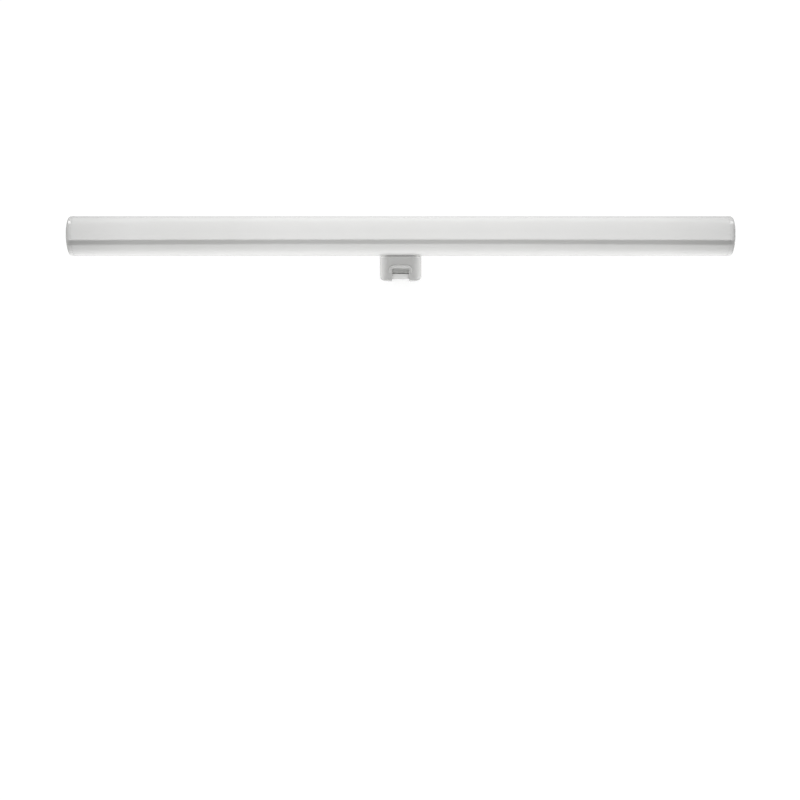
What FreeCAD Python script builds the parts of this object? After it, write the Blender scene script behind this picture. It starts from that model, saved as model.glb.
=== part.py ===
import FreeCAD, Part
import os
import Sketcher

# Linear opal lamp, 500 mm long and 30 mm in diameter, with one central oblong two-contact cap.
# Frame: origin between the cap's feet, +X along the tube, +Y to the back, +Z up; all sizes in mm.

SIZES = (
    ("lamp_length", 500.0),
    ("tube_radius", 15.0),
    ("cap_drop", 19.2),
    ("cap_band", 4.0),
    ("cap_proud", 0.05),
    ("cap_round", 1.8),
    ("rim_wall", 1.8),
    ("socket_depth", 3.0),
    ("seat_gap", 0.05),
    ("base_length", 31.8),
    ("base_depth", 14.0),
    ("saddle_edge", 0.6),
    ("foot_round", 2.2),
    ("cut_below", 1.0),
    ("throat_half", 6.4),
    ("throat_below", 9.8),
    ("throat_corner", 1.4),
    ("overlap", 0.3),
    ("pocket_depth", 4.6),
    ("pocket_floor", 6.1),
    ("floor_fall", 1.4),
    ("ramp_top_depth", 1.2),
    ("ramp_foot_depth", 2.3),
    ("ramp_foot_height", 2.8),
    ("lead_depth", 4.0),
    ("rib_width", 2.5),
    ("rib_proud", 1.0),
    ("rib_round", 0.95),
    ("rib_leg", 2.0),
    ("channel_height", 1.0),
    ("contact_inset", 5.7),
    ("well_radius", 2.9),
    ("well_depth", 0.9),
    ("pin_hole_radius", 1.2),
    ("pin_hole_depth", 6.0),
    ("pin_short", 0.5),
    ("contact_radius", 2.5),
    ("contact_setback", 0.15),
    ("contact_chamfer", 0.3),
)
RIM_TURNS = (0, 18, 36, 54, 72, 90)
QUARTER = 1.5707963267948966
NEAR = 0.01

vec = FreeCAD.Vector
doc = FreeCAD.newDocument("tubular_lamp")
sheet = doc.addObject("Spreadsheet::Sheet", "sizes")
for row, (alias, value) in enumerate(SIZES, start=1):
    sheet.set("A%d" % row, alias)
    sheet.set("B%d" % row, str(value))
    sheet.setAlias("B%d" % row, alias)
doc.recompute()


def evaluate(formula):
    """Number of a formula written over the sheet's names."""
    value = sheet.evalExpression(formula)
    return float(getattr(value, "Value", value))


def origin_plane(body, role):
    for feature in body.Origin.OriginFeatures:
        if feature.Role == role:
            return feature
    raise RuntimeError("no plane " + role)


def new_sketch(body, name, role):
    sketch = body.newObject("Sketcher::SketchObject", name)
    sketch.AttachmentSupport = [(origin_plane(body, role), "")]
    sketch.MapMode = "FlatFace"
    return sketch


def driven(sketch, formula, *parts):
    """Dimension constraint bound to a formula over the sheet."""
    index = sketch.addConstraint(Sketcher.Constraint(*parts, evaluate(formula)))
    sketch.setExpression("Constraints[%d]" % index, formula)


def fix_point(sketch, geo, pos, across, up):
    """Hold a point at two formulas from the sketch origin."""
    for kind, formula, axis in (("DistanceX", across, -2), ("DistanceY", up, -1)):
        if abs(evaluate(formula)) < 1e-9:
            sketch.addConstraint(Sketcher.Constraint("PointOnObject", geo, pos, axis))
        else:
            driven(sketch, formula, kind, -1, 1, geo, pos)


def polygon(sketch, corners):
    """Closed outline of straight lines; each corner is two formulas."""
    points = [vec(evaluate(across), evaluate(up), 0) for across, up in corners]
    count = len(points)
    for i in range(count):
        sketch.addGeometry(Part.LineSegment(points[i], points[(i + 1) % count]), False)
    for i in range(count):
        sketch.addConstraint(Sketcher.Constraint("Coincident", i, 2, (i + 1) % count, 1))
    for i, (across, up) in enumerate(corners):
        fix_point(sketch, i, 1, across, up)


def circle(sketch, across, up, radius):
    ring = Part.Circle(vec(evaluate(across), evaluate(up), 0), vec(0, 0, 1), evaluate(radius))
    geo = sketch.addGeometry(ring, False)
    fix_point(sketch, geo, 3, across, up)
    driven(sketch, radius, "Radius", geo)


def arc(sketch, across, up, radius, start):
    """Arc drawn in place; the caller's constraints hold its ends."""
    ring = Part.Circle(vec(across, up, 0), vec(0, 0, 1), radius)
    return sketch.addGeometry(Part.ArcOfCircle(ring, start[0], start[1]), False)


def line(sketch, x1, y1, x2, y2):
    return sketch.addGeometry(Part.LineSegment(vec(x1, y1, 0), vec(x2, y2, 0)), False)


def stadium(sketch, run, radius):
    """Oblong with full round ends; run is half the straight length."""
    a, r = evaluate(run), evaluate(radius)
    line(sketch, -a, -r, a, -r)
    arc(sketch, a, 0, r, (-QUARTER, QUARTER))
    line(sketch, a, r, -a, r)
    arc(sketch, -a, 0, r, (QUARTER, 3 * QUARTER))
    for i in range(4):
        sketch.addConstraint(Sketcher.Constraint("Tangent", i, 2, (i + 1) % 4, 1))
    sketch.addConstraint(Sketcher.Constraint("Horizontal", 0))
    sketch.addConstraint(Sketcher.Constraint("PointOnObject", 1, 3, -1))
    driven(sketch, run, "DistanceX", -1, 1, 1, 3)
    driven(sketch, run, "DistanceX", 3, 3, -1, 1)
    driven(sketch, radius, "Radius", 1)


def arch(sketch, half, top, foot, corner):
    """Upright opening with two rounded upper corners."""
    w, t, f, r = (evaluate(text) for text in (half, top, foot, corner))
    line(sketch, -w, f, w, f)
    line(sketch, w, f, w, t - r)
    arc(sketch, w - r, t - r, r, (0, QUARTER))
    line(sketch, w - r, t, r - w, t)
    arc(sketch, r - w, t - r, r, (QUARTER, 2 * QUARTER))
    line(sketch, -w, t - r, -w, f)
    for i, kind in enumerate(("Coincident", "Tangent", "Tangent", "Tangent", "Tangent", "Coincident")):
        sketch.addConstraint(Sketcher.Constraint(kind, i, 2, (i + 1) % 6, 1))
    for geo, kind in ((0, "Horizontal"), (1, "Vertical"), (3, "Horizontal"), (5, "Vertical")):
        sketch.addConstraint(Sketcher.Constraint(kind, geo))
    sketch.addConstraint(Sketcher.Constraint("Equal", 2, 4))
    driven(sketch, half, "DistanceX", -1, 1, 1, 1)
    driven(sketch, half, "DistanceX", 0, 1, -1, 1)
    driven(sketch, foot, "DistanceY", -1, 1, 0, 1)
    driven(sketch, top, "DistanceY", -1, 1, 3, 1)
    driven(sketch, corner, "Radius", 2)


def band(sketch, half, top, foot, corner, width):
    """Arch-shaped band with square leg ends; half, top, foot and corner are its inner line's."""
    h, t, f, r, w = (evaluate(text) for text in (half, top, foot, corner, width))
    x, y = h - r, t - r
    line(sketch, h + w, f, h + w, y)
    arc(sketch, x, y, r + w, (0, QUARTER))
    line(sketch, x, t + w, -x, t + w)
    arc(sketch, -x, y, r + w, (QUARTER, 2 * QUARTER))
    line(sketch, -h - w, y, -h - w, f)
    line(sketch, -h - w, f, -h, f)
    line(sketch, -h, f, -h, y)
    arc(sketch, -x, y, r, (QUARTER, 2 * QUARTER))
    line(sketch, -x, t, x, t)
    arc(sketch, x, y, r, (0, QUARTER))
    line(sketch, h, y, h, f)
    line(sketch, h, f, h + w, f)
    turned_back, plain_corners = (7, 9), (4, 5, 10, 11)
    for i in range(12):
        j = (i + 1) % 12
        leave, enter = (1 if i in turned_back else 2), (2 if j in turned_back else 1)
        kind = "Coincident" if i in plain_corners else "Tangent"
        sketch.addConstraint(Sketcher.Constraint(kind, i, leave, j, enter))
    for geo in (0, 4, 6, 10):
        sketch.addConstraint(Sketcher.Constraint("Vertical", geo))
    for geo in (2, 5, 8, 11):
        sketch.addConstraint(Sketcher.Constraint("Horizontal", geo))
    sketch.addConstraint(Sketcher.Constraint("Equal", 1, 3))
    sketch.addConstraint(Sketcher.Constraint("Equal", 7, 9))
    driven(sketch, "%s + %s" % (corner, width), "Radius", 1)
    driven(sketch, corner, "Radius", 9)
    driven(sketch, half, "DistanceX", -1, 1, 10, 2)
    driven(sketch, half, "DistanceX", 6, 1, -1, 1)
    driven(sketch, width, "DistanceX", 11, 1, 11, 2)
    driven(sketch, width, "DistanceX", 5, 1, 5, 2)
    driven(sketch, foot, "DistanceY", -1, 1, 10, 2)
    driven(sketch, foot, "DistanceY", -1, 1, 6, 1)
    driven(sketch, top, "DistanceY", -1, 1, 8, 1)
    driven(sketch, width, "DistanceY", 8, 1, 2, 2)


def turned(body, name, sketch, axis):
    feature = body.newObject("PartDesign::Revolution", name)
    feature.Profile = sketch
    feature.ReferenceAxis = (sketch, [axis])
    feature.Angle = 360.0
    doc.recompute()
    return feature


def straight(body, kind, name, sketch, length, midplane=True, reverse=False):
    """Pad or Pocket; its length is a formula over the sheet."""
    feature = body.newObject("PartDesign::" + kind, name)
    feature.Profile = sketch
    feature.Midplane = midplane
    feature.Reversed = reverse
    feature.setExpression("Length", length)
    doc.recompute()
    return feature


def eased(body, kind, name, base_feature, edges, amount):
    """Fillet or Chamfer on the named edges; its size is a formula over the sheet."""
    feature = body.newObject("PartDesign::" + kind, name)
    feature.Base = (base_feature, edges)
    feature.setExpression({"Fillet": "Radius", "Chamfer": "Size"}[kind], amount)
    doc.recompute()
    return feature


def edges_where(shape, test):
    return ["Edge%d" % (i + 1) for i, edge in enumerate(shape.Edges) if test(edge)]


def must_change(feature, before, sign):
    """Stop if a feature cut or added nothing."""
    change = (feature.Shape.Volume - before.Shape.Volume) * sign
    if change <= NEAR:
        raise RuntimeError("%s changes nothing" % feature.Name)


AXIS_HEIGHT = "(sizes.tube_radius + sizes.cap_drop)"
SOCKET_RADIUS = "(sizes.tube_radius - sizes.rim_wall)"
HALF_LENGTH = "(sizes.lamp_length / 2)"
TUBE_END = "(sizes.lamp_length / 2 - sizes.cap_band)"
SOCKET_FLOOR = "(sizes.lamp_length / 2 - sizes.cap_band - sizes.socket_depth)"
BAND_RADIUS = "(sizes.tube_radius + sizes.cap_proud)"

# Opal tube: one sealed body of revolution, with a shallow socket in each end for an end cap.
tube = doc.addObject("PartDesign::Body", "opal_tube")
tube_profile = new_sketch(tube, "tube_profile", "XZ_Plane")
tube_profile.setExpression("AttachmentOffset.Base.y", AXIS_HEIGHT)
polygon(tube_profile, (
    ("-" + SOCKET_FLOOR, "0"),
    ("-" + SOCKET_FLOOR, SOCKET_RADIUS),
    ("-" + TUBE_END, SOCKET_RADIUS),
    ("-" + TUBE_END, "sizes.tube_radius"),
    (TUBE_END, "sizes.tube_radius"),
    (TUBE_END, SOCKET_RADIUS),
    (SOCKET_FLOOR, SOCKET_RADIUS),
    (SOCKET_FLOOR, "0"),
))
turned(tube, "tube_turned", tube_profile, "H_Axis")

# End cap: moulded disc with a spigot that seats in the tube's socket. Its rim is rounded in five
# flats with their corners on one arc.
cap = doc.addObject("PartDesign::Body", "end_cap_right")
cap_profile = new_sketch(cap, "cap_profile", "XZ_Plane")
cap_profile.setExpression("AttachmentOffset.Base.y", AXIS_HEIGHT)
SPIGOT_RADIUS = "(%s - sizes.seat_gap)" % SOCKET_RADIUS
SPIGOT_TIP = "(" + SOCKET_FLOOR + " + sizes.seat_gap)"
rim_corners = []
for turn in RIM_TURNS:
    across = "%s - sizes.cap_round * (1 - sin(%g deg))" % (HALF_LENGTH, turn)
    up = "%s - sizes.cap_round * (1 - cos(%g deg))" % (BAND_RADIUS, turn)
    rim_corners.append((across, up))
polygon(cap_profile, (
    (SPIGOT_TIP, "0"),
    (SPIGOT_TIP, SPIGOT_RADIUS),
    (TUBE_END, SPIGOT_RADIUS),
    (TUBE_END, BAND_RADIUS),
    *rim_corners,
    (HALF_LENGTH, "0"),
))
turned(cap, "cap_turned", cap_profile, "H_Axis")
cap_mirror = doc.addObject("Part::Mirroring", "end_cap_left")
cap_mirror.Source = cap
cap_mirror.Normal = vec(1, 0, 0)
cap_mirror.Base = vec(0, 0, 0)

# Cap housing: oblong moulding with round ends, rounded feet and a saddle on top for the tube.
base = doc.addObject("PartDesign::Body", "base_housing")
plan = new_sketch(base, "plan", "XY_Plane")
stadium(plan, "(sizes.base_length - sizes.base_depth) / 2", "sizes.base_depth / 2")
blank = straight(base, "Pad", "blank", plan, AXIS_HEIGHT, midplane=False)
saddle_ring = new_sketch(base, "saddle_ring", "YZ_Plane")
circle(saddle_ring, "0", AXIS_HEIGHT, "sizes.tube_radius + sizes.seat_gap")
saddle = straight(base, "Pocket", "saddle", saddle_ring, "2 * sizes.base_length")
must_change(saddle, blank, -1)
foot_edges = edges_where(saddle.Shape, lambda e: e.BoundBox.ZMax < NEAR)
foot_rounded = eased(base, "Fillet", "foot_rounded", saddle, foot_edges, "sizes.foot_round")
must_change(foot_rounded, saddle, -1)
saddle_low = evaluate("sizes.cap_drop - sizes.seat_gap") - NEAR
saddle_edges = edges_where(foot_rounded.Shape, lambda e: e.BoundBox.ZMin > saddle_low
                           and e.BoundBox.XLength > e.BoundBox.YLength)
saddle_eased = eased(base, "Chamfer", "saddle_eased", foot_rounded, saddle_edges, "sizes.saddle_edge")
must_change(saddle_eased, foot_rounded, -1)

# Latch notch: an arched opening that runs down to the foot, deep enough for a holder's latch.
SADDLE_CORNER = "(%s - sqrt(sizes.tube_radius^2 - (sizes.base_depth / 2)^2))" % AXIS_HEIGHT
THROAT_TOP = "(%s - sizes.throat_below)" % SADDLE_CORNER
throat_arch = new_sketch(base, "throat_arch", "XZ_Plane")
throat_arch.setExpression("AttachmentOffset.Base.z", "sizes.base_depth / 2 - sizes.pocket_depth")
arch(throat_arch, "sizes.throat_half", THROAT_TOP, "-sizes.cut_below", "sizes.throat_corner")
throat = straight(base, "Pocket", "throat", throat_arch, "sizes.pocket_depth + sizes.cut_below",
                  midplane=False, reverse=True)
must_change(throat, saddle_eased, -1)

# Catch bar across the notch, with a lead-in ramp on its face and a steeper lead under it.
FACE = "-(sizes.base_depth / 2)"
bar_profile = new_sketch(base, "bar_profile", "YZ_Plane")
polygon(bar_profile, (
    (FACE + " + sizes.ramp_top_depth", "sizes.pocket_floor"),
    (FACE + " + sizes.ramp_foot_depth", "sizes.ramp_foot_height"),
    (FACE + " + sizes.lead_depth", "sizes.channel_height"),
    (FACE + " + sizes.pocket_depth + sizes.overlap", "sizes.channel_height"),
    (FACE + " + sizes.pocket_depth + sizes.overlap", "sizes.pocket_floor - sizes.floor_fall"),
))
catch_bar = straight(base, "Pad", "catch_bar", bar_profile, "2 * (sizes.throat_half + sizes.overlap)")
must_change(catch_bar, throat, 1)

# Raised rib round the top of the notch, with short legs beside the opening.
rib_band = new_sketch(base, "rib_band", "XZ_Plane")
rib_band.setExpression("AttachmentOffset.Base.z", "sizes.base_depth / 2 - sizes.overlap")
RIB_FOOT = "(%s - sizes.throat_corner - sizes.rib_leg)" % THROAT_TOP
band(rib_band, "sizes.throat_half", THROAT_TOP, RIB_FOOT, "sizes.throat_corner", "sizes.rib_width")
rib = straight(base, "Pad", "rib", rib_band, "sizes.rib_proud + sizes.overlap", midplane=False)
must_change(rib, catch_bar, 1)

# The notch at the back mirrors the one at the front; then both ribs are rounded over.
both_faces = base.newObject("PartDesign::Mirrored", "both_faces")
both_faces.Originals = [throat, catch_bar, rib]
both_faces.MirrorPlane = (origin_plane(base, "XZ_Plane"), [""])
base.Tip = both_faces
doc.recompute()
must_change(both_faces, rib, -1)
rib_front = evaluate("sizes.base_depth / 2 + sizes.rib_proud") - NEAR
leg_end = evaluate(RIB_FOOT) + NEAR
rib_edges = edges_where(both_faces.Shape, lambda e: e.BoundBox.ZMax > leg_end
                        and min(abs(e.BoundBox.YMin), abs(e.BoundBox.YMax)) > rib_front)
rib_rounded = eased(base, "Fillet", "rib_rounded", both_faces, rib_edges, "sizes.rib_round")
must_change(rib_rounded, both_faces, -1)

# Shallow channel under the middle, from front to back, that leaves two feet.
channel_profile = new_sketch(base, "channel_profile", "YZ_Plane")
polygon(channel_profile, (
    ("-sizes.base_depth", "-sizes.cut_below"),
    ("sizes.base_depth", "-sizes.cut_below"),
    ("sizes.base_depth", "sizes.channel_height"),
    ("-sizes.base_depth", "sizes.channel_height"),
))
channel = straight(base, "Pocket", "channel", channel_profile, "2 * sizes.throat_half")
must_change(channel, rib_rounded, -1)

# Contact wells in the feet, each with a blind hole for its contact's pin.
CONTACT_OFFSET = "(sizes.base_length / 2 - sizes.contact_inset)"
wells_plan = new_sketch(base, "wells_plan", "XY_Plane")
circle(wells_plan, CONTACT_OFFSET, "0", "sizes.well_radius")
circle(wells_plan, "-" + CONTACT_OFFSET, "0", "sizes.well_radius")
wells = straight(base, "Pocket", "wells", wells_plan, "sizes.well_depth", midplane=False, reverse=True)
must_change(wells, channel, -1)
pins_plan = new_sketch(base, "pins_plan", "XY_Plane")
circle(pins_plan, CONTACT_OFFSET, "0", "sizes.pin_hole_radius")
circle(pins_plan, "-" + CONTACT_OFFSET, "0", "sizes.pin_hole_radius")
pin_holes = straight(base, "Pocket", "pin_holes", pins_plan,
                     "sizes.well_depth + sizes.pin_hole_depth", midplane=False, reverse=True)
must_change(pin_holes, wells, -1)

# Contact: turned rivet, its flat head in the well and its pin in the blind hole.
PIN_RADIUS = "sizes.pin_hole_radius - sizes.seat_gap"
PIN_TIP = "sizes.well_depth + sizes.pin_hole_depth - sizes.pin_short"


def contact(name, side):
    body = doc.addObject("PartDesign::Body", name)
    profile = new_sketch(body, name + "_profile", "XZ_Plane")
    profile.setExpression("AttachmentOffset.Base.x", "%d * %s" % (side, CONTACT_OFFSET))
    polygon(profile, (
        ("0", "sizes.contact_setback"),
        ("sizes.contact_radius - sizes.contact_chamfer", "sizes.contact_setback"),
        ("sizes.contact_radius", "sizes.contact_setback + sizes.contact_chamfer"),
        ("sizes.contact_radius", "sizes.well_depth"),
        (PIN_RADIUS, "sizes.well_depth"),
        (PIN_RADIUS, PIN_TIP),
        ("0", PIN_TIP),
    ))
    turned(body, name + "_turned", profile, "V_Axis")
    return body


NODES = {
    "opal_tube": tube,
    "end_cap_left": cap_mirror,
    "end_cap_right": cap,
    "base_housing": base,
    "contact_left": contact("contact_left", -1),
    "contact_right": contact("contact_right", 1),
}
doc.recompute()
for thing in doc.Objects:
    if "Invalid" in thing.State or "Error" in thing.State:
        raise RuntimeError("%s failed" % thing.Name)
os.makedirs("parts", exist_ok=True)
for node, thing in NODES.items():
    shape = thing.Shape
    if shape.isNull() or not shape.isValid() or len(shape.Solids) != 1:
        raise RuntimeError("%s has no valid single solid" % node)
    shape.exportStep("parts/%s.step" % node)
    box = shape.optimalBoundingBox()
    print("%-14s x %.2f..%.2f  y %.2f..%.2f  z %.2f..%.2f  volume %.1f" % (
        node, box.XMin, box.XMax, box.YMin, box.YMax, box.ZMin, box.ZMax, shape.Volume))
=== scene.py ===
import math

import bmesh
import bpy
from mathutils import Matrix, Vector


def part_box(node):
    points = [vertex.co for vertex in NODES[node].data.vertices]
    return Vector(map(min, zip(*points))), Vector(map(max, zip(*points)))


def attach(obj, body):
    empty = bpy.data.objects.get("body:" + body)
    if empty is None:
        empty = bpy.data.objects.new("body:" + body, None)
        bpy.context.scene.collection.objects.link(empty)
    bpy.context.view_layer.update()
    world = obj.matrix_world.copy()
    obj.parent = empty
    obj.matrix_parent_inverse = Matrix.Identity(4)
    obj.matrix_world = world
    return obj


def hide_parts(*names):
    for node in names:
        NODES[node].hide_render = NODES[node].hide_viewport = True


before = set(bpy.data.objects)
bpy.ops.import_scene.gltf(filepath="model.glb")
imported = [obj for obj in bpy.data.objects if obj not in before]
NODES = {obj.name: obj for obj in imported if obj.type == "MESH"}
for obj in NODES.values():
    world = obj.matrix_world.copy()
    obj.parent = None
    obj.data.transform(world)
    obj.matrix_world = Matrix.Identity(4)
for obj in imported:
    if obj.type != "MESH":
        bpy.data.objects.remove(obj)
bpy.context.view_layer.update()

MM = 0.001

# Sizes read off the solids

tube_low, tube_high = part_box("opal_tube")
cap_low, cap_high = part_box("end_cap_right")
contact_low, contact_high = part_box("contact_left")
AXIS_Z = (tube_low.z + tube_high.z) / 2
RADIUS = (tube_high - tube_low).z / 2
TUBE_END = tube_high.x
LAMP_END = cap_high.x
BAND = (cap_high - cap_low).z / 2
CONTACT_X = abs(contact_low.x + contact_high.x) / 2

# Shapes

# The socket for the end cap's spigot, the broken edges at the joint, the cap's rim and the slight
# crown of its band.
SEAT_WALL, SEAT_DEPTH, SEAT_GAP = 1.8 * MM, 3.0 * MM, 0.05 * MM
TUBE_EDGE, BAND_EDGE = 0.08 * MM, 0.06 * MM
RIM, CROWN = 1.4 * MM, 0.12 * MM
# Steps of the turned bodies.
LATHE_SIDES, BODY_RINGS = 224, 24
EDGE_STEPS, BAND_STEPS, RIM_STEPS = 4, 10, 14
END_RINGS = (0.75, 0.5, 0.25)
# Angles in degrees: edges sharper than these stay hard, are joined into flats, or are rounded.
SMOOTH_ANGLE, FLAT_ANGLE, HARD_ANGLE = 35.0, 0.6, 32
WELD, EDGE_ROUND, ROUND_STEPS = 0.000002, 0.12 * MM, 2

# Looks

# Plastics: colour at the dark and the light end of their faint clouds.
OPAL_DARK, OPAL_LIGHT = (0.560, 0.559, 0.549), (0.582, 0.581, 0.573)
BASE_DARK, BASE_LIGHT = (0.530, 0.530, 0.521), (0.552, 0.552, 0.544)
NICKEL_DARK, NICKEL_LIGHT = (0.62, 0.59, 0.53), (0.80, 0.78, 0.74)
# Painted shade: the opal darkens towards the lamp's ends, where less light reaches: (distance from
# the middle, tone).
END_SHADE = ((0.08, 1.0), (0.20, 0.89), (0.225, 0.80), (0.25, 0.69))
END_SHADE_SPAN, CAP_END_SHADE = END_SHADE[-1]
# Grain: sizes of the noise, in cells per metre, and heights of the bumps.
OPAL_CLOUD, OPAL_GRAIN, DIE_LINES = 26.0, 1800.0, (3.0, 900.0, 900.0)
MOULD_CLOUD, CAP_GRAIN, BASE_GRAIN, PIT_SHARE = 160.0, 2200.0, 1600.0, 1.6
CAP_GRAIN_HEIGHT, BASE_GRAIN_HEIGHT, SKIN_HEIGHT = 0.000002, 0.000006, 0.00001
RING_GRAIN, SPOT_GRAIN = 900.0, 900.0
# The usual span of a noise's values, which is stretched over each range.
NOISE_SPAN = (0.3, 0.7)
# Roughness: range under the gloss, and of the gloss.
OPAL_ROUGH, MOULD_ROUGH, NICKEL_ROUGH = (0.30, 0.36), (0.45, 0.60), (0.22, 0.40)
OPAL_GLOSS, CAP_GLOSS, BASE_GLOSS = (0.10, 0.14), (0.10, 0.14), (0.20, 0.28)

# Painted shade in creases, from their ambient occlusion: how far it reaches, the open share at
# which it is darkest and gone, and the darkest tone on the housing and on the tube.
CREASE_REACH, CREASE_OPEN, CREASE_SAMPLES = 2.5 * MM, (0.40, 0.92), 8
CREASE_TONE, SEAT_TONE = 0.72, 0.45
# Distances from the middle between which the housing's front turns away into its round ends, and
# past which the joint of the end cap is the only crease with painted shade left on the tube.
FACE_END, NEXT_CREASE, EDGE_BLEND = (9.5 * MM, 12.5 * MM), 31.8 * MM, 1.0 * MM
# Painted shade on the tube just over the housing: upper edge, blend and depth.
STRIP_TOP, STRIP_BLEND, STRIP_SHADE_DEPTH = 22.5 * MM, 0.5 * MM, 0.42
# Housing: the painted crease shade fades out towards its seat, and its rim under the tube has
# painted light that lightens it.
SEAT_SHADE_FADE, SEAT_RIM, SEAT_RIM_LIGHT = (17.0 * MM, 19.0 * MM), 0.8 * MM, (0.45, 0.80)
# Notch: half width, distances from the mid-plane between which painted light lightens its wall,
# and how much lighter the wall is painted at its foot and top.
NOTCH_HALF, NOTCH_DEPTH = 6.45 * MM, (5.2 * MM, 3.4 * MM)
WALL_FOOT, WALL_TOP, NOTCH_PAINTED_LIGHT = 5.9 * MM, 7.3 * MM, (1.35, 0.25)
# Painted shade on the catch bar's face, and on the lower half of the rib round the notch.
BAR_TOP, BAR_SHADE_DEPTH = 5.6 * MM, 0.12
RIB_FACE, RIB_SHADE, RIB_SHADE_DEPTH = 7.02 * MM, (9.9 * MM, 10.8 * MM), 0.28

# Light

FLOOR_RINGS, FLOOR_SIDES = (0.5, 1.5, 3.0, 6.0), 96
FLOOR_DARK, FLOOR_LIGHT, FLOOR_SPECK, FLOOR_GLOW = (0.23,) * 3, (0.27,) * 3, 90.0, 0.82
BACKDROP_RADIUS, BACKDROP_HEIGHT = 5.9, 3.0
BACKDROP_DARK, BACKDROP_LIGHT = (0.02,) * 3, (0.03,) * 3
BACKDROP_SPECK, BACKDROP_GLOW = 2.0, 1.02
STAGE_ROUGH = 0.9
WORLD_FRONT, WORLD_BACK, WORLD_SIDES, WORLD_TOP = 0.12, 1.20, 1.40, 0.85
# Light tunnel about the tube's axis: (degrees up from the front, glow); -90 is the light table
# and 90 the top.
TUNNEL_RADIUS, TUNNEL_END, TUNNEL_SIDES = 2.4, 4.0, 144
TUNNEL_GLOW = ((-180, 1.0), (-163, 1.0), (-145, 1.0), (-130, 1.6), (-118, 2.7), (-105, 3.8),
               (-75, 5.4), (-50, 4.5), (-31, 4.5), (-26, 0.1), (-4, 0.1), (1, 7.9), (40, 7.9),
               (80, 8.0), (120, 6.4), (155, 2.2), (168, 1.3), (180, 1.0))
TALLEST = max(value for _, value in TUNNEL_GLOW) + 0.001
# The glow's edges turn by so many degrees per square metre of distance from the middle, below and
# above the change in the dark band, so that their mirror images run straight along the tube.
TABLE_SAG, TUNNEL_SAG, SAG_CHANGE = 10.0, 5.5, (-18, -12)
# Past the start, the tunnel's sides take over: (distance from the middle, glow), and the glow in
# the middle of its end discs.
SIDE_START, SIDE_FULL, DISC_GLOW, DISC_SHARE = 0.95, 1.5, 1.9, 0.99
SIDE_GLOW = ((1.0, 2.2), (1.3, 1.2), (1.6, 1.1), (2.3, 2.0), (2.9, 2.6), (3.95, 3.3))
# Two small lamps past the ends: (middle, half width) along the lamp and in degrees, and the glow.
SPOT_X, SPOT_TURN, SPOT_GLOW = (1.12, 0.22), (104, 9), 6.5

# Camera

# The photo's viewing angle, and where the tube lies in its frame, in pixels: how far its axis is
# above the middle and its own middle to the right.
DISTANCE, LENS, SENSOR, PIXELS = 1.0, 59.5, 36.0, 800
SIGHT, AXIS_ABOVE, TUBE_MIDDLE = math.radians(17.0), 163.83, 0.62
CLIP = (0.01, 50.0)


# Mesh helpers


def weigh_normals(mesh, degrees):
    """Corner normals averaged by area over the faces within the angle, so that flats shade flat."""
    limit = math.cos(math.radians(degrees))
    faces = mesh.polygons
    around = [[] for _ in mesh.vertices]
    for face in faces:
        for corner in face.vertices:
            around[corner].append(face.index)
    normals = []
    for face in faces:
        for corner in face.vertices:
            total = Vector()
            for index in around[corner]:
                if faces[index].normal.dot(face.normal) >= limit:
                    total += faces[index].normal * faces[index].area
            normals.append(total.normalized())
    mesh.normals_split_custom_set(normals)


def new_object(name, bm):
    """Object from a bmesh, shaded smooth except across its sharper edges."""
    bmesh.ops.recalc_face_normals(bm, faces=bm.faces)
    mesh = bpy.data.meshes.new(name)
    bm.to_mesh(mesh)
    bm.free()
    mesh.shade_smooth()
    mesh.set_sharp_from_angle(angle=math.radians(SMOOTH_ANGLE))
    weigh_normals(mesh, SMOOTH_ANGLE)
    obj = bpy.data.objects.new(name, mesh)
    bpy.context.scene.collection.objects.link(obj)
    return obj


def circle(radius, sides):
    """Evenly spaced points on a circle, as pairs."""
    return [(radius * math.cos(2 * math.pi * i / sides), radius * math.sin(2 * math.pi * i / sides))
            for i in range(sides)]


def quarter(x, radius, size, start, stop, steps):
    """Points of a quarter round about (x, radius), in degrees from the +X direction."""
    points = []
    for i in range(steps + 1):
        turn = math.radians(start + (stop - start) * i / steps)
        points.append((x + size * math.cos(turn), radius + size * math.sin(turn)))
    return points


def lathe_x(name, profile):
    """Closed body of revolution about the tube's axis; profile is (x, radius) from pole to pole."""
    bm = bmesh.new()
    rings = []
    for x, radius in profile:
        if radius <= 0:
            rings.append([bm.verts.new((x, 0, AXIS_Z))])
        else:
            rings.append([bm.verts.new((x, y, AXIS_Z + z)) for y, z in circle(radius, LATHE_SIDES)])
    for a, b in zip(rings, rings[1:]):
        for i in range(LATHE_SIDES):
            j = (i + 1) % LATHE_SIDES
            if len(a) == 1:
                bm.faces.new((a[0], b[i], b[j]))
            elif len(b) == 1:
                bm.faces.new((a[i], a[j], b[0]))
            else:
                bm.faces.new((a[i], a[j], b[j], b[i]))
    return new_object(name, bm)


# Material helpers


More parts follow.
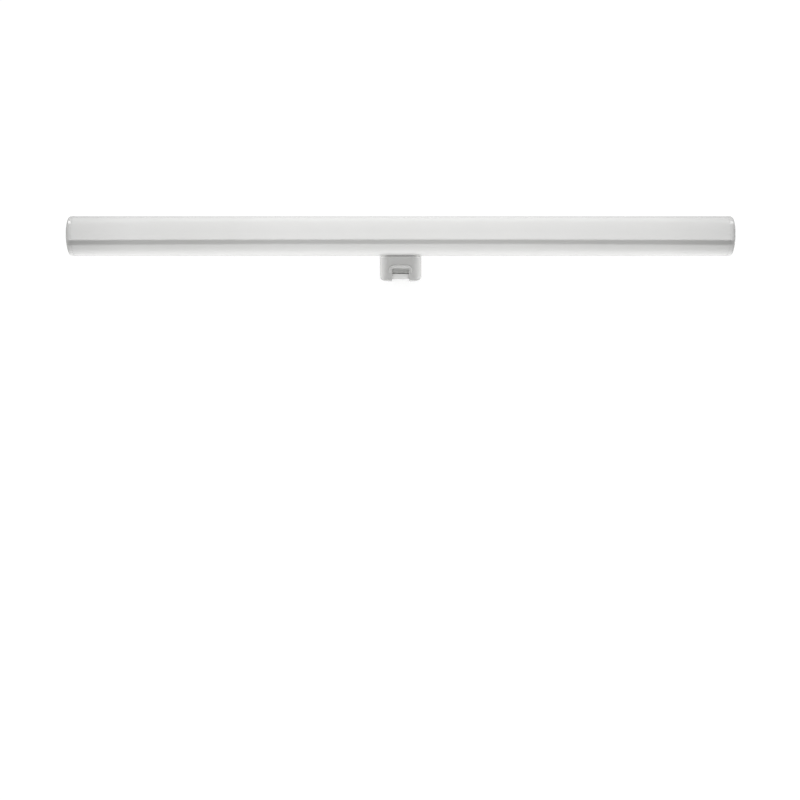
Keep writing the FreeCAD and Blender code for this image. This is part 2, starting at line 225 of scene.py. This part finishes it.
class Nodes:
    """Adds shader nodes to a tree, links them and hands back their output sockets."""

    def __init__(self, tree):
        self.tree = tree

    def add(self, kind, inputs=None, **settings):
        node = self.tree.nodes.new(kind)
        for key, value in settings.items():
            setattr(node, key, value)
        for key, value in (inputs or {}).items():
            if isinstance(value, bpy.types.NodeSocket):
                self.tree.links.new(value, node.inputs[key])
            else:
                node.inputs[key].default_value = value
        return node

    def link(self, value, node, key):
        self.tree.links.new(value, node.inputs[key])

    def place(self):
        return self.add("ShaderNodeTexCoord").outputs["Object"]

    def split(self, vector):
        node = self.add("ShaderNodeSeparateXYZ", {"Vector": vector})
        return node.outputs["X"], node.outputs["Y"], node.outputs["Z"]

    def math(self, operation, *values):
        return self.add("ShaderNodeMath", dict(enumerate(values)), operation=operation).outputs[0]

    def vector(self, operation, *values):
        node = self.add("ShaderNodeVectorMath", dict(enumerate(values)), operation=operation)
        return node.outputs["Value" if operation in ("LENGTH", "DOT_PRODUCT") else "Vector"]

    def join(self, **axes):
        return self.add("ShaderNodeCombineXYZ", axes).outputs["Vector"]

    def remap(self, value, start, stop, low=0.0, high=1.0):
        """Map one range to another and hold the value past its ends."""
        return self.add("ShaderNodeMapRange", {"Value": value, "From Min": start, "From Max": stop,
                                               "To Min": low, "To Max": high}).outputs["Result"]

    def spread(self, value, low, high):
        """Map the usual values of a noise to a narrow range."""
        return self.remap(value, *NOISE_SPAN, low, high)

    def noise(self, vector, scale, detail):
        return self.add("ShaderNodeTexNoise", {"Vector": vector, "Scale": scale, "Detail": detail}
                        ).outputs["Fac"]

    def tint(self, value, first, second):
        """Colour between two colours."""
        mix = self.add("ShaderNodeMix", {"Factor": value}, data_type="RGBA")
        mix.inputs[6].default_value = (*first, 1)
        mix.inputs[7].default_value = (*second, 1)
        return mix.outputs[2]

    def ramp(self, value, stops):
        """Grey tone read off a list of (position, tone) stops."""
        node = self.add("ShaderNodeValToRGB", {"Fac": value})
        elements = node.color_ramp.elements
        while len(elements) < len(stops):
            elements.new(0.5)
        for element, (position, tone) in zip(elements, stops):
            element.position = position
            element.color = (tone, tone, tone, 1)
        return node.outputs["Color"]

    def painted_crease_shade(self, darkest):
        """Factor of painted shade that darkens the colour in tight creases, by their ambient
        occlusion.
        """
        open_share = self.add("ShaderNodeAmbientOcclusion", {"Distance": CREASE_REACH},
                              samples=CREASE_SAMPLES).outputs["AO"]
        return self.remap(open_share, *CREASE_OPEN, darkest, 1.0)


def material(name, **uniform):
    """Material with its plain values set on the shader."""
    mat = bpy.data.materials.new(name)
    mat.use_nodes = True
    shader = mat.node_tree.nodes["Principled BSDF"]
    for key, value in uniform.items():
        shader.inputs[key.replace("_", " ")].default_value = value
    return mat, Nodes(mat.node_tree), shader


# Materials of the lamp


def opal_material():
    """Extruded opal tube: clouded body with painted shade towards its ends, faint die lines and a
    gloss.
    """
    mat, n, shader = material("opal_gloss", Specular_IOR_Level=0.0, Coat_IOR=1.5)
    place = n.place()
    cloud = n.noise(place, OPAL_CLOUD, detail=4.0)
    along = n.add("ShaderNodeMapping", {"Vector": place, "Scale": DIE_LINES}).outputs["Vector"]
    lines = n.noise(along, 1.0, detail=2.0)
    grain = n.noise(place, OPAL_GRAIN, detail=2.0)
    x, _, height = n.split(place)
    side = n.math("ABSOLUTE", x)
    # Painted shade: the colour darkens towards the lamp's ends, where less light reaches.
    end_shade = n.ramp(n.math("DIVIDE", side, END_SHADE_SPAN), [(at / END_SHADE_SPAN, tone) for at, tone in END_SHADE])
    body = n.vector("MULTIPLY", n.tint(n.spread(cloud, 0, 1), OPAL_DARK, OPAL_LIGHT), end_shade)
    # Painted shade over the housing's flat face, and painted crease shade that fades out over its
    # round ends.
    low = n.remap(height, STRIP_TOP, STRIP_TOP - STRIP_BLEND)
    near = n.remap(side, FACE_END[1], FACE_END[0], 0.0, STRIP_SHADE_DEPTH)
    strip = n.math("SUBTRACT", 1.0, n.math("MULTIPLY", low, near))
    past = n.remap(side, FACE_END[0], FACE_END[1] + EDGE_BLEND, SEAT_TONE, 1.0)
    joint = n.math("GREATER_THAN", side, NEXT_CREASE)
    darkest = n.math("MULTIPLY_ADD", joint, SEAT_TONE - 1.0, past)
    painted_crease_shade = n.math("MULTIPLY", strip, n.painted_crease_shade(darkest))
    n.link(n.vector("MULTIPLY", body, painted_crease_shade), shader, "Base Color")
    # The painted shade also takes away the coat's gloss there.
    n.link(painted_crease_shade, shader, "Coat Weight")
    n.link(n.spread(cloud, *OPAL_ROUGH), shader, "Roughness")
    n.link(n.spread(grain, *OPAL_GLOSS), shader, "Coat Roughness")
    ribs = n.add("ShaderNodeBump", {"Height": lines, "Strength": 0.10, "Distance": SKIN_HEIGHT})
    fine = n.add("ShaderNodeBump", {"Height": grain, "Strength": 0.06, "Distance": SKIN_HEIGHT,
                                    "Normal": ribs.outputs["Normal"]})
    n.link(fine.outputs["Normal"], shader, "Normal")
    return mat


def housing_tone(n, place):
    """Factor on the housing's colour: painted light in the notches and on the rim under the tube,
    painted shade in the creases, on the catch bar and under the rib.
    """
    across, depth, height = n.split(n.vector("ABSOLUTE", place))
    # Painted light: the notch's back wall is lightened, more towards its foot.
    between = n.math("LESS_THAN", across, NOTCH_HALF)
    inside = n.math("MULTIPLY", between, n.math("GREATER_THAN", height, BAR_TOP))
    pocket_light_by_height = n.remap(height, WALL_FOOT, WALL_TOP, *NOTCH_PAINTED_LIGHT)
    deep = n.remap(depth, *NOTCH_DEPTH, 0.0, pocket_light_by_height)
    painted_pocket_light = n.math("MULTIPLY_ADD", inside, deep, 1.0)
    # Painted shade: the catch bar's face is darkened.
    bar = n.math("MULTIPLY", n.math("LESS_THAN", height, BAR_TOP), between)
    painted_bar_shade = n.math("MULTIPLY_ADD", bar, -BAR_SHADE_DEPTH, 1.0)
    # Painted light: the rim under the tube is lightened, most of all on the round ends.
    ends = n.remap(across, *FACE_END, *SEAT_RIM_LIGHT)
    rise = n.math("SUBTRACT", height, AXIS_Z)
    rim = n.math("LESS_THAN", n.vector("LENGTH", n.join(Y=depth, Z=rise)), RADIUS + SEAT_RIM)
    painted_rim_light = n.math("MULTIPLY_ADD", ends, rim, 1.0)
    # Painted shade on the lower half of the rib over the notch.
    proud = n.math("GREATER_THAN", depth, RIB_FACE)
    under = n.math("MULTIPLY", n.remap(height, RIB_SHADE[1], RIB_SHADE[0], 0.0, RIB_SHADE_DEPTH), proud)
    arch = n.remap(across, NOTCH_HALF, NOTCH_HALF - EDGE_BLEND, 0.0, -1.0)
    shaded = n.math("MULTIPLY_ADD", under, arch, 1.0)
    # Painted crease shade, fading out towards the seat.
    factor = n.painted_crease_shade(n.remap(height, *SEAT_SHADE_FADE, CREASE_TONE, 1.0))
    for part in (painted_pocket_light, painted_bar_shade, painted_rim_light, shaded):
        factor = n.math("MULTIPLY", factor, part)
    return factor


def moulded_material(name, first, second, gloss, grain_scale, grain_height, tone=None):
    """Moulded plastic: slight colour clouds, fine eroded grain and a satin skin."""
    mat, n, shader = material(name, Specular_IOR_Level=0.0, Coat_Weight=1.0, Coat_IOR=1.49)
    place = n.place()
    cloud = n.noise(place, MOULD_CLOUD, detail=3.0)
    grain = n.noise(place, grain_scale, detail=3.0)
    pits = n.add("ShaderNodeTexVoronoi", {"Vector": place, "Scale": grain_scale * PIT_SHARE}
                 ).outputs["Distance"]
    body = n.tint(n.spread(cloud, 0, 1), first, second)
    # The tone factor carries painted light and shade.
    if tone:
        body = n.vector("MULTIPLY", body, tone(n, place))
    n.link(body, shader, "Base Color")
    n.link(n.spread(cloud, *MOULD_ROUGH), shader, "Roughness")
    n.link(n.spread(grain, *gloss), shader, "Coat Roughness")
    coarse = n.add("ShaderNodeBump", {"Height": grain, "Strength": 0.5, "Distance": grain_height})
    fine = n.add("ShaderNodeBump", {"Height": pits, "Strength": 0.3, "Distance": grain_height * 0.5,
                                    "Normal": coarse.outputs["Normal"]})
    n.link(fine.outputs["Normal"], shader, "Normal")
    return mat


def contact_material():
    """Turned nickel: rings round each contact's own axis and dull spots."""
    mat, n, shader = material("contact_nickel", Metallic=1.0)
    place = n.place()
    x, y, _ = n.split(place)
    near = n.math("SUBTRACT", n.math("ABSOLUTE", x), CONTACT_X)
    rings = n.add("ShaderNodeTexWave", {"Vector": n.join(X=near, Y=y), "Scale": RING_GRAIN,
                                        "Distortion": 0.6, "Detail": 1.0},
                  wave_type="RINGS", rings_direction="Z").outputs["Fac"]
    spots = n.noise(place, SPOT_GRAIN, detail=5.0)
    n.link(n.tint(spots, NICKEL_DARK, NICKEL_LIGHT), shader, "Base Color")
    n.link(n.spread(spots, *NICKEL_ROUGH), shader, "Roughness")
    bump = n.add("ShaderNodeBump", {"Height": rings, "Strength": 0.35, "Distance": SKIN_HEIGHT})
    n.link(bump.outputs["Normal"], shader, "Normal")
    return mat


opal = opal_material()
# The caps take the opal's colours with the painted end shade at its darkest.
cap_white = moulded_material("cap_satin", [CAP_END_SHADE * c for c in OPAL_DARK],
                             [CAP_END_SHADE * c for c in OPAL_LIGHT],
                             CAP_GLOSS, CAP_GRAIN, CAP_GRAIN_HEIGHT)
base_white = moulded_material("base_satin", BASE_DARK, BASE_LIGHT,
                              BASE_GLOSS, BASE_GRAIN, BASE_GRAIN_HEIGHT, housing_tone)

# The lamp

# Tube: sockets in both ends, its end edges broken so that the joint reads as a fine line.
half = [(TUBE_END - SEAT_DEPTH, 0), (TUBE_END - SEAT_DEPTH, RADIUS - SEAT_WALL),
        (TUBE_END, RADIUS - SEAT_WALL)]
half += quarter(TUBE_END - TUBE_EDGE, RADIUS - TUBE_EDGE, TUBE_EDGE, 0, 90, EDGE_STEPS)
body = [(TUBE_END * (1 - 2 * i / BODY_RINGS), RADIUS) for i in range(1, BODY_RINGS)]
tube = lathe_x("opal_tube_skin", half + body + [(-x, r) for x, r in reversed(half)])
tube.data.materials.append(opal)
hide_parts("opal_tube")
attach(tube, "root")

# End caps: a spigot in the socket, a slightly crowned band and a rounded rim that runs into the
# flat end.
spigot = RADIUS - SEAT_WALL - SEAT_GAP
right = [(TUBE_END - SEAT_DEPTH + SEAT_GAP, 0), (TUBE_END - SEAT_DEPTH + SEAT_GAP, spigot),
         (TUBE_END, spigot)]
right += quarter(TUBE_END + BAND_EDGE, BAND - BAND_EDGE, BAND_EDGE, 180, 90, EDGE_STEPS)
run = LAMP_END - RIM - TUBE_END - BAND_EDGE
for i in range(1, BAND_STEPS):
    share = i / BAND_STEPS
    right.append((TUBE_END + BAND_EDGE + run * share, BAND - CROWN * share ** 2))
slope = math.degrees(2 * CROWN / run)
right += quarter(LAMP_END - RIM, BAND - CROWN - RIM, RIM, 90 - slope, 0, RIM_STEPS)
right += [(LAMP_END, BAND * share) for share in END_RINGS] + [(LAMP_END, 0)]
for side, node in ((1, "end_cap_right"), (-1, "end_cap_left")):
    cap = lathe_x(node + "_skin", [(side * x, r) for x, r in right])
    cap.data.materials.append(cap_white)
    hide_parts(node)
    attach(cap, "root")

# Cap housing: the moulding with its flats joined and a small round on every hard edge.
bm = bmesh.new()
bm.from_mesh(NODES["base_housing"].data)
bmesh.ops.remove_doubles(bm, verts=bm.verts, dist=WELD)
bmesh.ops.dissolve_limit(bm, angle_limit=math.radians(FLAT_ANGLE), verts=bm.verts, edges=bm.edges)
hard = [edge for edge in bm.edges
        if len(edge.link_faces) == 2 and edge.calc_face_angle(0) > math.radians(HARD_ANGLE)]
bmesh.ops.bevel(bm, geom=hard, offset=EDGE_ROUND, offset_type="OFFSET", segments=ROUND_STEPS,
                profile=0.5, affect="EDGES", clamp_overlap=True)
housing = new_object("base_housing_skin", bm)
housing.data.materials.append(base_white)
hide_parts("base_housing")
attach(housing, "root")

# Contacts: the solids themselves, in their own metal.
contact_metal = contact_material()
for node in ("contact_left", "contact_right"):
    NODES[node].data.materials.clear()
    NODES[node].data.materials.append(contact_metal)


# The stage


def stage_material(name, dark, light, speck, glow):
    """Matt white that glows evenly, with a faint speckle."""
    mat, n, shader = material(name, Roughness=STAGE_ROUGH, Specular_IOR_Level=0.0,
                              Emission_Color=(1, 1, 1, 1), Emission_Strength=glow)
    n.link(n.tint(n.noise(n.place(), speck, detail=3.0), dark, light), shader, "Base Color")
    return mat


def tunnel_material():
    """Glow set by the direction round the tube's axis and the distance from the lamp's middle."""
    mat = bpy.data.materials.new("tunnel_glow")
    mat.use_nodes = True
    mat.cycles.emission_sampling = "NONE"
    n = Nodes(mat.node_tree)
    n.tree.nodes.remove(n.tree.nodes["Principled BSDF"])
    x, y, z = n.split(n.place())
    back = n.math("MULTIPLY", y, -1.0)
    height = n.math("SUBTRACT", z, AXIS_Z)
    turn = n.math("ARCTAN2", height, back)
    far = n.math("ABSOLUTE", x)
    near = n.math("MINIMUM", far, SIDE_START)
    sag = n.remap(turn, *(math.radians(degrees) for degrees in SAG_CHANGE),
                  math.radians(TABLE_SAG), math.radians(TUNNEL_SAG))
    sagged = n.math("MULTIPLY_ADD", n.math("MULTIPLY", near, near), sag, turn)
    tone = n.ramp(n.remap(sagged, -math.pi, math.pi),
                  [(degrees / 360 + 0.5, value / TALLEST) for degrees, value in TUNNEL_GLOW])
    side = n.ramp(n.math("DIVIDE", far, TUNNEL_END),
                  [(at / TUNNEL_END, value / TALLEST) for at, value in SIDE_GLOW])
    disc = n.remap(n.vector("LENGTH", n.join(X=back, Y=height)), 0.0, TUNNEL_RADIUS * DISC_SHARE,
                   DISC_GLOW / TALLEST, 0.0)
    both = n.add("ShaderNodeMix", {"Factor": n.remap(far, SIDE_START, SIDE_FULL)}, data_type="RGBA")
    n.link(tone, both, 6)
    n.link(n.vector("ADD", side, disc), both, 7)
    spot = n.math("MULTIPLY", n.math("COMPARE", far, *SPOT_X),
                  n.math("COMPARE", turn, *(math.radians(degrees) for degrees in SPOT_TURN)))
    spot = n.math("MULTIPLY", spot, SPOT_GLOW / TALLEST)
    lit = n.vector("ADD", both.outputs[2], spot)
    glow = n.add("ShaderNodeEmission", {"Color": lit, "Strength": TALLEST})
    n.link(glow.outputs["Emission"], n.tree.nodes["Material Output"], "Surface")
    return mat


# Floor: a white table that the gloss doesn't mirror, because the tunnel stands in for it.
bm = bmesh.new()
rings = [[bm.verts.new((x, y, 0)) for x, y in circle(radius, FLOOR_SIDES)]
         for radius in FLOOR_RINGS]
bm.faces.new(rings[0])
for a, b in zip(rings, rings[1:]):
    for i in range(FLOOR_SIDES):
        j = (i + 1) % FLOOR_SIDES
        bm.faces.new((a[i], a[j], b[j], b[i]))
floor = new_object("studio_floor", bm)
floor.data.materials.append(stage_material("floor_white", FLOOR_DARK, FLOOR_LIGHT, FLOOR_SPECK,
                                           FLOOR_GLOW))
floor.visible_glossy = False

# Backdrop: a white wall that closes the view past the floor's edge. Only the camera meets it, so
# it lights nothing.
bm = bmesh.new()
foot, head = ([bm.verts.new((x, y, level)) for x, y in circle(BACKDROP_RADIUS, FLOOR_SIDES)]
              for level in (0, BACKDROP_HEIGHT))
for i in range(FLOOR_SIDES):
    j = (i + 1) % FLOOR_SIDES
    bm.faces.new((foot[j], foot[i], head[i], head[j]))
backdrop = new_object("studio_backdrop", bm)
backdrop.data.materials.append(stage_material("backdrop_white", BACKDROP_DARK, BACKDROP_LIGHT,
                                              BACKDROP_SPECK, BACKDROP_GLOW))
backdrop.visible_diffuse = False
backdrop.visible_glossy = False
backdrop.visible_transmission = False
backdrop.visible_shadow = False

# Light tunnel: met only by the gloss on the lamp, so it gives the mirrored bands and no light.
bm = bmesh.new()
columns = [[bm.verts.new((x, -y, AXIS_Z + z))
            for x in (-TUNNEL_END, -TUNNEL_END / 2, 0, TUNNEL_END / 2, TUNNEL_END)]
           for y, z in circle(TUNNEL_RADIUS, TUNNEL_SIDES)]
for a, b in zip(columns, columns[1:] + columns[:1]):
    for i in range(len(a) - 1):
        bm.faces.new((a[i], a[i + 1], b[i + 1], b[i]))
for i in (0, -1):
    bm.faces.new([column[i] for column in columns])
tunnel = new_object("studio_light_tunnel", bm)
tunnel.data.materials.append(tunnel_material())
tunnel.visible_camera = False
tunnel.visible_diffuse = False
tunnel.visible_transmission = False
tunnel.visible_shadow = False

# World: pale sides, back and top, and a darker front, as in a tented table set.
world = bpy.data.worlds.new("studio_world")
bpy.context.scene.world = world
world.use_nodes = True
n = Nodes(world.node_tree)
ray = n.add("ShaderNodeTexCoord").outputs["Generated"]
behind = n.math("GREATER_THAN", n.split(ray)[1], 0.0)
weights = n.join(X=WORLD_SIDES, Y=n.remap(behind, 0.0, 1.0, WORLD_FRONT, WORLD_BACK), Z=WORLD_TOP)
sky = n.vector("DOT_PRODUCT", n.vector("MULTIPLY", ray, ray), weights)
background = n.tree.nodes["Background"]
background.inputs["Color"].default_value = (1, 1, 1, 1)
n.link(sky, background, "Strength")

# The camera

focal = PIXELS * LENS / SENSOR
pitch = SIGHT + math.atan(AXIS_ABOVE / focal)
forward = Vector((0, math.cos(pitch), -math.sin(pitch)))
upward = Vector((0, math.sin(pitch), math.cos(pitch)))
place = Vector((0, 0, AXIS_Z)) - forward * DISTANCE - upward * (AXIS_ABOVE / focal * DISTANCE)
place.x = -TUBE_MIDDLE / focal * DISTANCE
data = bpy.data.cameras.new("camera")
data.lens, data.sensor_width = LENS, SENSOR
data.clip_start, data.clip_end = CLIP
camera = bpy.data.objects.new("camera", data)
bpy.context.scene.collection.objects.link(camera)
turn = Matrix(((1, 0, 0), tuple(upward), tuple(-forward))).transposed()
camera.matrix_world = Matrix.Translation(place) @ turn.to_4x4()
bpy.context.scene.camera = camera
bpy.context.scene.view_settings.view_transform = "Standard"
